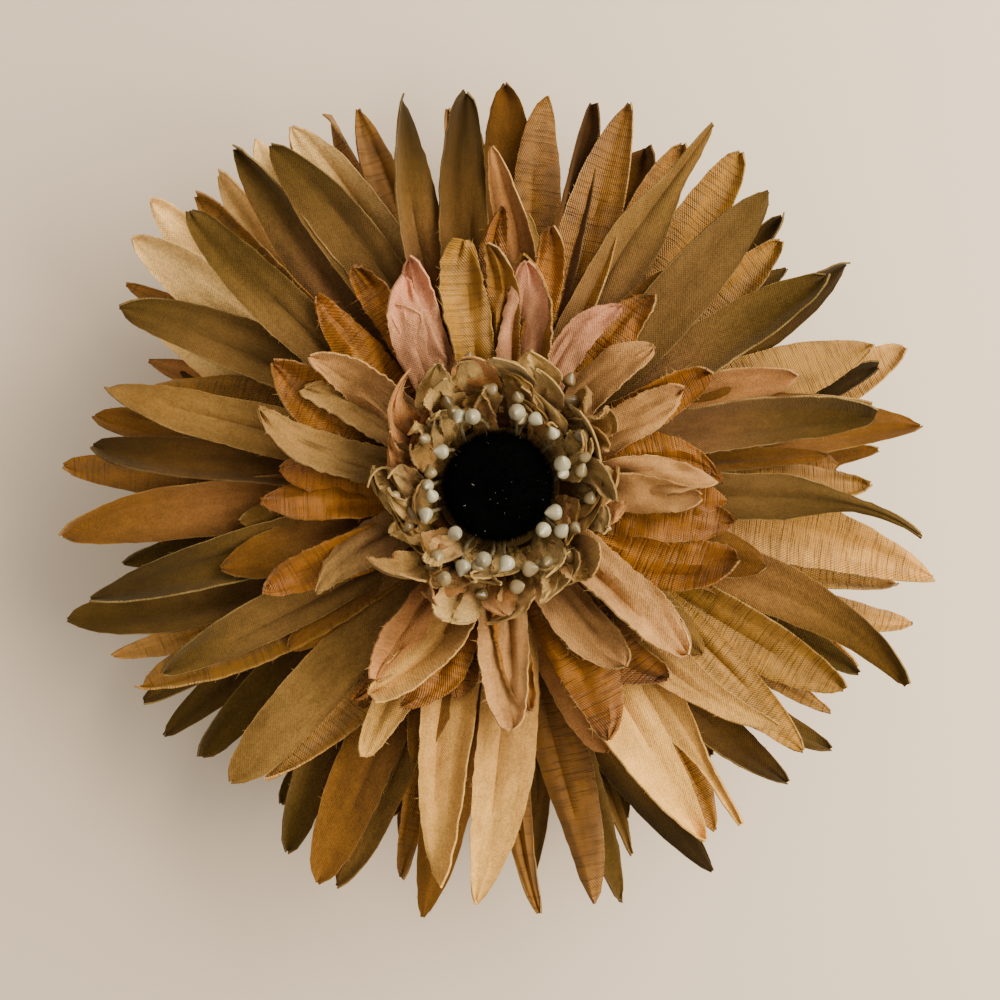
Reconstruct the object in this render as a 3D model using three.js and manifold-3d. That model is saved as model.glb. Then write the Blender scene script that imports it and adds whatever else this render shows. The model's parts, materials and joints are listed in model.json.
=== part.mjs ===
// Cloth gerbera flower on a sprung steel hair clip.
// The flower head is a stack of die-cut cloth whorls and moulded stamen crowns on a plastic spindle.
// A calyx, hot-melt glue and a felt disc join it to the flat base plate of an alligator clip.
// Units are millimetres and +Z is up. The origin is on the flower's axis, level with the lowest faces
// of the clip. The clip lies along Y: its jaws point to -Y and its finger levers to +Y.
import * as THREE from "three";
import { mergeVertices } from "three/addons/utils/BufferGeometryUtils.js";
import Module from "manifold-3d";

const wasm = await Module();
wasm.setup();

// ---------- Driving dimensions ----------
const FLOWER_RADIUS = 59; // axis to the tips of the longest petals
const CLOTH = 0.5; // thickness of a stiffened cloth whorl
const GAP = 0.35; // between pieces that are glued, stacked or pressed together
const CROWN_RING = 0.7; // thickness of a stamen crown's ring
const SPINDLE_RADIUS = 2;
const BORE_RADIUS = SPINDLE_RADIUS + GAP; // hole in each piece that is threaded on the spindle

const STEEL = 0.8; // sheet of both clip stampings
const TIP_Y = -46; // front end of the closed jaws
const LEVER_END_Y = 28; // rear end of the moving jaw's lever
const PIVOT_Y = 3.5;
const PIVOT_Z = 7.7;
const PIN_RADIUS = 0.8;
const EAR_HOLE_RADIUS = PIN_RADIUS + 0.09; // a running fit
const BASE_HALF_WIDTH = 4.5;
const BASE_MID_Z = 10.6; // middle of the base plate's sheet where it is flat
const JAW_CREST_Z = 4.2; // middle of the moving jaw's sheet under the pin
const JAW_FOOT_Z = STEEL / 2; // middle of the moving jaw's sheet where it is lowest
const TIP_RADIUS = 2.5; // rounded front ends, seen from above

const FELT_RADIUS = 19;
const FELT_THICKNESS = 1.6;
const GLUE_THICKNESS = 0.75;
const CALYX_RADIUS = 10;
const CALYX_THICKNESS = 1.3;

// ---------- Materials ----------
const plain = (color, roughness, metalness = 0) =>
  new THREE.MeshStandardMaterial({ color, roughness, metalness });

const STEEL_LOOK = plain(0xc9c6c2, 0.25, 1);
const SPRING_LOOK = plain(0xb4b2ae, 0.35, 1);
const GLUE_LOOK = plain(0xe6dcc4, 0.45);
const FELT_LOOK = plain(0x3b2a1c, 0.98);
const CALYX_LOOK = plain(0x6f7a45, 0.55);
const SPINDLE_LOOK = plain(0xb9ad8c, 0.5);
const PILE_LOOK = plain(0x070709, 1);

// ---------- Helpers ----------
const flower = new THREE.Group();

function add(name, geometry, material) {
  const mesh = new THREE.Mesh(geometry, material);
  mesh.name = name;
  flower.add(mesh);
  return mesh;
}

function toSolid(geometry) {
  const bare = geometry.index ? geometry.toNonIndexed() : geometry.clone();
  bare.deleteAttribute("normal");
  bare.deleteAttribute("uv");
  const merged = mergeVertices(bare, 1e-4);
  return new wasm.Manifold(
    new wasm.Mesh({
      numProp: 3,
      vertProperties: merged.getAttribute("position").array,
      triVerts: new Uint32Array(merged.index.array),
    }),
  );
}

function toGeometry(solid) {
  const mesh = solid.getMesh();
  const geometry = new THREE.BufferGeometry();
  geometry.setAttribute("position", new THREE.BufferAttribute(mesh.vertProperties, 3));
  geometry.setIndex(new THREE.BufferAttribute(mesh.triVerts, 1));
  geometry.computeVertexNormals();
  return geometry;
}

const union = (geometries) => geometries.map(toSolid).reduce((all, one) => all.add(one));

// A shape drawn in (y, z), extruded along X and centred on x = 0, or starting at fromX.
function extrudeAcross(shape, width, fromX = -width / 2, curveSegments = 8) {
  const geometry = new THREE.ExtrudeGeometry(shape, {
    depth: width,
    bevelEnabled: false,
    curveSegments,
  });
  const yzx = new THREE.Matrix4().makeBasis(
    new THREE.Vector3(0, 1, 0),
    new THREE.Vector3(0, 0, 1),
    new THREE.Vector3(1, 0, 0),
  );
  return geometry.applyMatrix4(yzx).translate(fromX, 0, 0);
}

// A shape drawn in (x, y), extruded upwards from z.
function extrudeUp(shape, height, z, curveSegments = 12) {
  const geometry = new THREE.ExtrudeGeometry(shape, {
    depth: height,
    bevelEnabled: false,
    curveSegments,
  });
  return geometry.translate(0, 0, z);
}

// A profile of [radius, height] pairs turned about Z.
function turned(profile, segments) {
  const points = profile.map(([r, z]) => new THREE.Vector2(r, z));
  return new THREE.LatheGeometry(points, segments).rotateX(Math.PI / 2);
}

// Pieces on the spindle sit one on another, each a GAP above the one below.
let level = 0;
function stackUp(thickness) {
  const underside = level;
  level += thickness + GAP;
  return underside;
}

// ---------- The clip: two sheet-steel stampings, a pin and a spring ----------

// The outline of a strip of sheet that follows a middle line of (y, z) points.
function sheetProfile(middle, thickness) {
  const sides = [[], []];
  middle.forEach((point, i) => {
    const before = middle[Math.max(i - 1, 0)];
    const after = middle[Math.min(i + 1, middle.length - 1)];
    const along = after.clone().sub(before).normalize();
    const across = new THREE.Vector2(-along.y, along.x).multiplyScalar(thickness / 2);
    sides[0].push(point.clone().add(across));
    sides[1].unshift(point.clone().sub(across));
  });
  return new THREE.Shape([...sides[0], ...sides[1]]);
}

const yz = (y, z) => new THREE.Vector2(y, z);
const bend = (a, b, c, d, steps) => new THREE.CubicBezierCurve(a, b, c, d).getPoints(steps);

// Two ears that stand off the sheet to hold the pin: rounded at the pin, square at the sheet.
function ear(radius, sheetZ, inside, thickness, side) {
  const shape = new THREE.Shape();
  const up = Math.sign(sheetZ - PIVOT_Z);
  shape.moveTo(PIVOT_Y - radius, sheetZ);
  shape.lineTo(PIVOT_Y - radius, PIVOT_Z);
  shape.absarc(PIVOT_Y, PIVOT_Z, radius, Math.PI, 0, up < 0);
  shape.lineTo(PIVOT_Y + radius, sheetZ);
  const hole = new THREE.Path();
  hole.absarc(PIVOT_Y, PIVOT_Z, EAR_HOLE_RADIUS, 0, 2 * Math.PI);
  shape.holes.push(hole);
  const fromX = side > 0 ? inside : -inside - thickness;
  return extrudeAcross(shape, thickness, fromX);
}

const EAR_THICKNESS = 0.7;
const BASE_EAR_RADIUS = 2.2;
const BASE_EAR_INSIDE = BASE_HALF_WIDTH - EAR_THICKNESS;
const JAW_EAR_RADIUS = 1.8;
const JAW_NECK_HALF_WIDTH = 3.3; // narrow enough to turn between the base plate's ears
const JAW_EAR_INSIDE = JAW_NECK_HALF_WIDTH - EAR_THICKNESS;

// Plan view of the base plate: parallel levers, tapering to a rounded tip.
function basePlan() {
  const rear = LEVER_END_Y - 1;
  const plan = new THREE.Shape();
  plan.moveTo(-BASE_HALF_WIDTH, rear - 3);
  plan.lineTo(-BASE_HALF_WIDTH, -8);
  plan.lineTo(-TIP_RADIUS, TIP_Y + TIP_RADIUS);
  plan.absarc(0, TIP_Y + TIP_RADIUS, TIP_RADIUS, Math.PI, 2 * Math.PI);
  plan.lineTo(BASE_HALF_WIDTH, -8);
  plan.lineTo(BASE_HALF_WIDTH, rear - 3);
  plan.quadraticCurveTo(BASE_HALF_WIDTH, rear, 0, rear);
  plan.quadraticCurveTo(-BASE_HALF_WIDTH, rear, -BASE_HALF_WIDTH, rear - 3);
  return plan;
}

function clipBase() {
  const middle = [
    yz(LEVER_END_Y, BASE_MID_Z),
    ...bend(
      yz(-12, BASE_MID_Z),
      yz(-26, BASE_MID_Z),
      yz(-34, 3.2),
      yz(TIP_Y - 1, JAW_FOOT_Z + STEEL + GAP),
      9,
    ),
  ];
  const strip = toSolid(extrudeAcross(sheetProfile(middle, STEEL), 4 * BASE_HALF_WIDTH));
  const sheet = strip.intersect(toSolid(extrudeUp(basePlan(), 20, -2, 6)));
  const ears = [-1, 1].map((side) =>
    ear(BASE_EAR_RADIUS, BASE_MID_Z, BASE_EAR_INSIDE, EAR_THICKNESS, side),
  );
  return toGeometry(sheet.add(union(ears)));
}

// Plan view of the moving jaw: a rounded tip, a neck between the base plate's ears and a broad lever.
function jawPlan() {
  const jawHalfWidth = 3.9;
  const plan = new THREE.Shape();
  plan.moveTo(-TIP_RADIUS, TIP_Y + TIP_RADIUS);
  plan.absarc(0, TIP_Y + TIP_RADIUS, TIP_RADIUS, Math.PI, 2 * Math.PI);
  plan.lineTo(jawHalfWidth, -12);
  plan.lineTo(JAW_NECK_HALF_WIDTH, -4);
  plan.lineTo(JAW_NECK_HALF_WIDTH, 11);
  plan.lineTo(BASE_HALF_WIDTH, 15);
  plan.lineTo(BASE_HALF_WIDTH, LEVER_END_Y - 3);
  plan.quadraticCurveTo(BASE_HALF_WIDTH, LEVER_END_Y, 0, LEVER_END_Y);
  plan.quadraticCurveTo(-BASE_HALF_WIDTH, LEVER_END_Y, -BASE_HALF_WIDTH, LEVER_END_Y - 3);
  plan.lineTo(-BASE_HALF_WIDTH, 15);
  plan.lineTo(-JAW_NECK_HALF_WIDTH, 11);
  plan.lineTo(-JAW_NECK_HALF_WIDTH, -4);
  plan.lineTo(-jawHalfWidth, -12);
  return plan;
}

const LEVER_BEND_Y = 22.5; // where the lever flattens into its finger tab
const CREST_REAR_Y = 5.5;

// The middle line of the moving jaw's sheet, from the end of its lever to the tip.
function jawMiddle() {
  return [
    yz(LEVER_END_Y + 1, JAW_FOOT_Z),
    yz(LEVER_BEND_Y + 1.5, JAW_FOOT_Z),
    yz(LEVER_BEND_Y, JAW_FOOT_Z),
    yz(CREST_REAR_Y, JAW_CREST_Z),
    ...bend(yz(0, JAW_CREST_Z), yz(-12, JAW_CREST_Z), yz(-24, JAW_FOOT_Z), yz(-36, JAW_FOOT_Z), 7),
    yz(-37, JAW_FOOT_Z),
    yz(TIP_Y - 1, JAW_FOOT_Z),
  ];
}

function heightAt(middle, y) {
  const next = middle.findIndex((point) => point.x <= y);
  const [a, b] = [middle[next - 1], middle[next]];
  return a.y + ((y - a.x) / (b.x - a.x)) * (b.y - a.y);
}

// Small pyramid teeth along both edges of the gripping face.
function jawTeeth(middle) {
  const teeth = [];
  for (let i = 0; i < 4; i++) {
    const y = -41.4 + 2.6 * i;
    const z = heightAt(middle, y);
    for (const side of [-1, 1]) {
      const tooth = new THREE.ConeGeometry(0.55, 1.3, 4).rotateX(Math.PI / 2);
      teeth.push(tooth.translate(side * 1.9, y, z + 0.75));
    }
  }
  return teeth;
}

function clipJaw() {
  const middle = jawMiddle();
  const strip = toSolid(extrudeAcross(sheetProfile(middle, STEEL), 4 * BASE_HALF_WIDTH));
  const sheet = strip.intersect(toSolid(extrudeUp(jawPlan(), 20, -2, 6)));
  const ears = [-1, 1].map((side) =>
    ear(JAW_EAR_RADIUS, JAW_CREST_Z, JAW_EAR_INSIDE, EAR_THICKNESS, side),
  );
  return toGeometry(sheet.add(union([...ears, ...jawTeeth(middle)])));
}

function pivotPin() {
  const headRadius = 1.4;
  const inside = BASE_HALF_WIDTH + GAP;
  const outside = inside + 0.4;
  const profile = [
    [0, -outside],
    [headRadius, -outside],
    [headRadius, -inside],
    [PIN_RADIUS, -inside],
    [PIN_RADIUS, inside],
    [headRadius, inside],
    [headRadius, outside],
    [0, outside],
  ];
  return turned(profile, 12).rotateY(Math.PI / 2).translate(0, PIVOT_Y, PIVOT_Z);
}

// Torsion spring: a rear leg under the base plate, a coil round the pin and a rear leg on the lever.
function torsionSpring() {
  const wireRadius = 0.3;
  const coilRadius = 1.75;
  const pitch = 0.85;
  const stepsPerTurn = 14;
  const legLength = 14;
  const leverFall = Math.atan2(JAW_CREST_Z - JAW_FOOT_Z, LEVER_BEND_Y - CREST_REAR_Y);
  const turn = 7 * Math.PI - leverFall;
  const firstX = (-turn / (2 * Math.PI)) * (pitch / 2);
  const points = [];
  for (const back of [1, 0.5]) {
    points.push(new THREE.Vector3(firstX, PIVOT_Y + back * legLength, PIVOT_Z + coilRadius));
  }
  const steps = Math.round((turn / (2 * Math.PI)) * stepsPerTurn);
  for (let i = 0; i <= steps; i++) {
    const angle = (-turn * i) / steps;
    const x = firstX - (angle / (2 * Math.PI)) * pitch;
    const y = PIVOT_Y + coilRadius * Math.sin(angle);
    points.push(new THREE.Vector3(x, y, PIVOT_Z + coilRadius * Math.cos(angle)));
  }
  const last = points[points.length - 1];
  const legWay = new THREE.Vector3(0, Math.cos(leverFall), -Math.sin(leverFall));
  for (const out of [0.5, 1]) {
    points.push(last.clone().addScaledVector(legWay, out * legLength));
  }
  const wire = new THREE.Shape().absarc(0, 0, wireRadius, 0, 2 * Math.PI);
  return new THREE.ExtrudeGeometry(wire, {
    steps: 84,
    curveSegments: 3,
    bevelEnabled: false,
    extrudePath: new THREE.CatmullRomCurve3(points, false, "centripetal"),
  });
}

add("clip_base", clipBase(), STEEL_LOOK);
add("clip_jaw", clipJaw(), STEEL_LOOK);
add("pivot_pin", pivotPin(), STEEL_LOOK);
add("torsion_spring", torsionSpring(), SPRING_LOOK);

// ---------- Glue, felt and calyx between the clip and the flower ----------

// A strip of hot-melt glue along the flat part of the base plate.
function glueStrip(z) {
  const halfWidth = 3.4;
  const frontY = -9;
  const rearY = 15;
  const plan = new THREE.Shape();
  plan.absarc(0, rearY - halfWidth, halfWidth, 0, Math.PI);
  plan.absarc(0, frontY + halfWidth, halfWidth, Math.PI, 2 * Math.PI);
  return extrudeUp(plan, GLUE_THICKNESS, z, 6);
}

function disc(radius, thickness, z, segments) {
  const profile = [
    [0, z],
    [radius, z],
    [radius, z + thickness],
    [0, z + thickness],
  ];
  return turned(profile, segments);
}

// A saucer with a bore for the spindle, under the lowest whorl.
function calyx(z) {
  const profile = [
    [BORE_RADIUS, z],
    [CALYX_RADIUS - 3, z],
    [CALYX_RADIUS, z + 0.7 * CALYX_THICKNESS],
    [CALYX_RADIUS, z + CALYX_THICKNESS],
    [BORE_RADIUS, z + CALYX_THICKNESS],
    [BORE_RADIUS, z],
  ];
  return turned(profile, 20);
}

level = BASE_MID_Z + STEEL / 2 + GAP;
add("glue_strip", glueStrip(stackUp(GLUE_THICKNESS)), GLUE_LOOK);
add("felt_disc", disc(FELT_RADIUS, FELT_THICKNESS, stackUp(FELT_THICKNESS), 28), FELT_LOOK);
add("glue_pad", disc(11, GLUE_THICKNESS, stackUp(GLUE_THICKNESS), 16), GLUE_LOOK);
const spindleFoot = level + GAP;
add("calyx", calyx(stackUp(CALYX_THICKNESS)), CALYX_LOOK);

// ---------- Cloth whorls ----------

// A closed body from a flat mesh: the underside follows heightAt(point) and the top is CLOTH above it.
function clothBody(points, triangles, heightAt) {
  const count = points.length;
  const positions = [0, CLOTH].flatMap((up) => points.flatMap((p) => [p.x, p.y, heightAt(p) + up]));
  const index = [];
  const edges = new Set();
  for (const [a, b, c] of triangles) {
    index.push(a, c, b, a + count, b + count, c + count);
    edges.add(`${a} ${b}`).add(`${b} ${c}`).add(`${c} ${a}`);
  }
  for (const edge of edges) {
    const [a, b] = edge.split(" ").map(Number);
    if (!edges.has(`${b} ${a}`)) {
      index.push(a, b, b + count, a, b + count, a + count);
    }
  }
  const geometry = new THREE.BufferGeometry();
  geometry.setAttribute("position", new THREE.Float32BufferAttribute(positions, 3));
  geometry.setIndex(index);
  const flat = geometry.toNonIndexed();
  flat.computeVertexNormals();
  return flat;
}

// A die-cut whorl of lanceolate petals round a flat hub with a bore. Past the hub it is pressed so
// that it rises evenly by rise at the tips, less a droop that grows with the square of the way out.
function whorl({ petals, tip, hub, width, rise, droop, turn = 0 }, z) {
  const span = tip - hub;
  const stations = [
    [hub, 0.26 * width],
    [hub + 0.42 * span, 0.44 * width],
    [hub + 0.72 * span, 0.48 * width],
    [hub + 0.91 * span, 0.27 * width],
  ];
  const points = [];
  const triangles = [];
  const perPetal = 2 + 2 * stations.length;
  for (let i = 0; i < petals; i++) {
    const petal = [new THREE.Vector2(BORE_RADIUS * 1.05, 0)];
    for (const [along, half] of stations) {
      petal.push(new THREE.Vector2(along, -half), new THREE.Vector2(along, half));
    }
    petal.push(new THREE.Vector2(tip, 0));
    const angle = (2 * Math.PI * i) / petals + turn;
    points.push(...petal.map((p) => p.rotateAround(new THREE.Vector2(), angle)));
    const first = i * perPetal;
    const next = ((i + 1) % petals) * perPetal;
    triangles.push([first, first + 1, first + 2]);
    triangles.push([first, first + 2, next]);
    triangles.push([next, first + 2, next + 1]);
    for (let s = 1; s < perPetal - 3; s += 2) {
      triangles.push([first + s, first + s + 2, first + s + 1]);
      triangles.push([first + s + 1, first + s + 2, first + s + 3]);
    }
    triangles.push([first + perPetal - 3, first + perPetal - 1, first + perPetal - 2]);
  }
  const heightAt = (point) => {
    const out = Math.max(0, (point.length() - hub - 0.1) / span);
    return z + rise * out - droop * out * out;
  };
  return clothBody(points, triangles, heightAt);
}

const OUTER_PETALS = 16;
const halfStep = Math.PI / OUTER_PETALS;
const OUTER_WHORLS = [
  { tip: FLOWER_RADIUS, rise: 0, colour: 0xb07a3c },
  { tip: FLOWER_RADIUS - 0.5, rise: 2.4, colour: 0x9c6a30, turn: halfStep },
  { tip: FLOWER_RADIUS - 2, rise: 4.8, colour: 0xc9a274, turn: 0.5 * halfStep },
  { tip: FLOWER_RADIUS - 4, rise: 7.2, colour: 0xb98140, turn: 1.5 * halfStep },
  { tip: FLOWER_RADIUS - 6, rise: 9.6, colour: 0x6d5230, turn: 0.2 * halfStep },
];
OUTER_WHORLS.forEach(({ colour, ...form }, i) => {
  const cut = { petals: OUTER_PETALS, hub: 9, width: 7.4, droop: 3, ...form };
  add(`outer_whorl_${i + 1}`, whorl(cut, stackUp(CLOTH)), plain(colour, 0.85));
});

const INNER_WHORLS = [
  {
    name: "middle_whorl",
    cut: { petals: 14, tip: 53, hub: 9, width: 7.4, rise: 12, droop: 2, turn: 0.11 },
    colour: 0xd2ad84,
  },
  {
    name: "amber_whorl",
    cut: { petals: 14, tip: 34.5, hub: 9, width: 6.4, rise: 10, droop: 1.2, turn: 0.3 },
    colour: 0xa8651c,
  },
  {
    name: "pale_whorl",
    cut: { petals: 13, tip: 29, hub: 9, width: 5.8, rise: 10, droop: 1.2, turn: 0.05 },
    colour: 0xc89a70,
  },
];
for (const { name, cut, colour } of INNER_WHORLS) {
  add(name, whorl(cut, stackUp(CLOTH)), plain(colour, 0.85));
}

// ---------- Stamen crowns and floret whorls, in turn up the spindle ----------

// A moulded ring with beaded stamens that lean outwards from its rim.
function stamenCrown({ stamens, rim, beadRadius, reach, climb }, z) {
  const ring = turned(
    [
      [BORE_RADIUS, z],
      [rim, z],
      [rim, z + CROWN_RING],
      [BORE_RADIUS, z + CROWN_RING],
      [BORE_RADIUS, z],
    ],
    16,
  );
  const length = Math.hypot(reach - rim, climb);
  const lean = Math.atan2(reach - rim, climb);
  const profile = [
    [0, -0.3],
    [0.33, -0.3],
    [0.28, length - beadRadius],
    [beadRadius, length],
    [0, length + 1.2 * beadRadius],
  ];
  const solids = [ring];
  for (let i = 0; i < stamens; i++) {
    const stamen = turned(profile, 5).rotateY(lean);
    stamen.translate(rim - 0.45, 0, z + CROWN_RING / 2);
    solids.push(stamen.rotateZ((2 * Math.PI * i) / stamens));
  }
  return toGeometry(union(solids));
}

const crown = (name, form, colour) =>
  add(name, stamenCrown(form, stackUp(CROWN_RING)), plain(colour, 0.4));
const floret = (name, form, colour) => add(name, whorl(form, stackUp(CLOTH)), plain(colour, 0.85));

crown(
  "stamen_crown_outer",
  { stamens: 18, rim: 8.4, beadRadius: 0.8, reach: 15, climb: 4.8 },
  0x7d7450,
);
floret(
  "floret_whorl_outer",
  { petals: 12, tip: 18.5, hub: 7.6, width: 4.6, rise: 9.6, droop: 0 },
  0xb98f5e,
);
crown(
  "stamen_crown_middle",
  { stamens: 20, rim: 7.4, beadRadius: 0.8, reach: 12.2, climb: 4.4 },
  0xa8966b,
);
floret(
  "floret_whorl_inner",
  { petals: 10, tip: 14.4, hub: 6.6, width: 4.2, rise: 8.6, droop: 0, turn: 0.2 },
  0xc29b6c,
);
crown(
  "stamen_crown_inner",
  { stamens: 18, rim: 6.4, beadRadius: 0.85, reach: 9.7, climb: 6 },
  0xdedbc8,
);

// ---------- Spindle and pile centre ----------

// The spindle threads every whorl and crown, from the calyx to a head on top of the stack.
function spindle(headZ) {
  const headRadius = 5.5;
  const headThickness = 0.8;
  const profile = [
    [0, spindleFoot],
    [SPINDLE_RADIUS, spindleFoot],
    [SPINDLE_RADIUS, headZ],
    [headRadius, headZ],
    [headRadius, headZ + headThickness],
    [0, headZ + headThickness],
  ];
  stackUp(headThickness);
  return turned(profile, 16);
}

function pileDome(z) {
  const radius = 7.2;
  const height = 3.9;
  const profile = [
    [0, z],
    [0.86 * radius, z],
    [radius, z + 0.3 * height],
    [0.9 * radius, z + 0.72 * height],
    [0.55 * radius, z + 0.95 * height],
    [0, z + height],
  ];
  return turned(profile, 18);
}

add("spindle", spindle(level), SPINDLE_LOOK);
add("centre_pile", pileDome(level), PILE_LOOK);

export default flower;
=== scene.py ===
import json
import math

import bpy
import numpy as np
from mathutils import Matrix, Vector

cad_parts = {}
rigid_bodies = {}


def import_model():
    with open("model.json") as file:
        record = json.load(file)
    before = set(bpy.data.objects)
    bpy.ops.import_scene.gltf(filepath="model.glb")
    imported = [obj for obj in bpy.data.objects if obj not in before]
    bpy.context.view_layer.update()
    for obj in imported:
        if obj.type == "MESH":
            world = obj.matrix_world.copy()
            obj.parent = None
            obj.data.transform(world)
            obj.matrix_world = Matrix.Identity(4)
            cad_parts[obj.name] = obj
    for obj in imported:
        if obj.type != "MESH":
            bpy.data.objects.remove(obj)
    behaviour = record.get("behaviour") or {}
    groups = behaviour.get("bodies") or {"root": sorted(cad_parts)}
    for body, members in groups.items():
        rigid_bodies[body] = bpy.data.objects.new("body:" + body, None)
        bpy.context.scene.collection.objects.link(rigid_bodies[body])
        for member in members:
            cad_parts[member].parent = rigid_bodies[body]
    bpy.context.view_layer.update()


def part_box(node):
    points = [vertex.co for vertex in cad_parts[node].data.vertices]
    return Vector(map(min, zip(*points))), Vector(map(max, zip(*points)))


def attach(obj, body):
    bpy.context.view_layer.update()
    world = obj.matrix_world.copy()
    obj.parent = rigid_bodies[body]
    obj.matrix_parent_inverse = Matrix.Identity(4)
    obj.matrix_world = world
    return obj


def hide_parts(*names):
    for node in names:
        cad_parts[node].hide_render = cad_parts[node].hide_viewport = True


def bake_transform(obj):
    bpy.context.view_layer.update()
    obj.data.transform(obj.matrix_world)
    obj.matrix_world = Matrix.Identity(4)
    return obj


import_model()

# Cloth gerbera hair clip. Everything is in metres in the CAD frame: +Z is the flower's axis, face up,
# and the clip lies along Y with its jaws towards -Y. Pieces are worked out in millimetres and scaled.
MM = 0.001
VIEW_TURN = math.radians(-22.6)  # from +Y round to the camera's up direction, anticlockwise from above


# ---------- Small helpers ----------

def srgb(*rgb):
    """Linear colour from 0..1 display values."""
    return tuple(c / 12.92 if c <= 0.04045 else ((c + 0.055) / 1.055) ** 2.4 for c in rgb)


def dye(*rgb):
    """Linear colour of cloth soaked in a dye: deeper and warmer than its display values, in per cent."""
    return tuple(k * c ** 1.5 for k, c in zip((0.70, 0.70, 0.52), srgb(*(c / 100 for c in rgb))))


def lerp(a, b, x):
    return a + (b - a) * x


def ramp(x, low, high):
    """Smooth step from 0 at low to 1 at high."""
    x = np.clip((x - low) / (high - low), 0, 1)
    return x * x * (3 - 2 * x)


def noise2(u, v, rng):
    """Smooth value noise of unit pitch, -1 to 1, on arrays u and v."""
    grid = rng.uniform(-1, 1, (64, 64))
    iu, iv = np.floor(u).astype(int), np.floor(v).astype(int)
    fu, fv = u - iu, v - iv
    fu, fv = fu * fu * (3 - 2 * fu), fv * fv * (3 - 2 * fv)

    def at(i, j):
        return grid[i % 64, j % 64]

    low = lerp(at(iu, iv), at(iu + 1, iv), fu)
    high = lerp(at(iu, iv + 1), at(iu + 1, iv + 1), fu)
    return lerp(low, high, fv)


# ---------- Materials ----------

class Nodes:
    """A material with a Principled shader and short calls for the nodes that feed it."""

    def __init__(self, name, **sockets):
        self.material = bpy.data.materials.new(name)
        self.material.use_nodes = True
        self.tree = self.material.node_tree
        self.shader = self.tree.nodes["Principled BSDF"]
        for socket, value in sockets.items():
            self.feed(socket.replace("_", " "), (*value, 1) if isinstance(value, tuple) else value)

    def add(self, kind, inputs=None, **settings):
        node = self.tree.nodes.new("ShaderNode" + kind)
        for key, value in settings.items():
            setattr(node, key, value)
        for key, value in (inputs or {}).items():
            self.put(value, node.inputs[key])
        return node

    def put(self, value, socket):
        if isinstance(value, bpy.types.NodeSocket):
            self.tree.links.new(value, socket)
        else:
            socket.default_value = value

    def feed(self, socket, value):
        self.put(value, self.shader.inputs[socket])

    def math(self, operation, a, b=0.0):
        return self.add("Math", {0: a, 1: b}, operation=operation).outputs[0]

    def noise(self, scale, vector, detail=3.0):
        return self.add("TexNoise", {"Scale": scale, "Vector": vector, "Detail": detail}).outputs["Fac"]

    def stretch(self, vector, across, along):
        return self.add("VectorMath", {0: vector, 1: (across, along, 1.0)}, operation="MULTIPLY").outputs[0]

    def tint(self, amount, colour, other, mode="MIX"):
        node = self.add("Mix", data_type="RGBA", blend_type=mode)
        self.put(amount, node.inputs[0])
        self.put(colour, node.inputs[6])
        self.put(other, node.inputs[7])
        return node.outputs[2]

    def span(self, value, low, high, to_low, to_high):
        inputs = {0: value, 1: low, 2: high, 3: to_low, 4: to_high}
        return self.add("MapRange", inputs).outputs[0]

    def bump(self, height, distance, strength=1.0):
        inputs = {"Height": height, "Distance": distance, "Strength": strength}
        return self.add("Bump", inputs).outputs[0]


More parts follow.
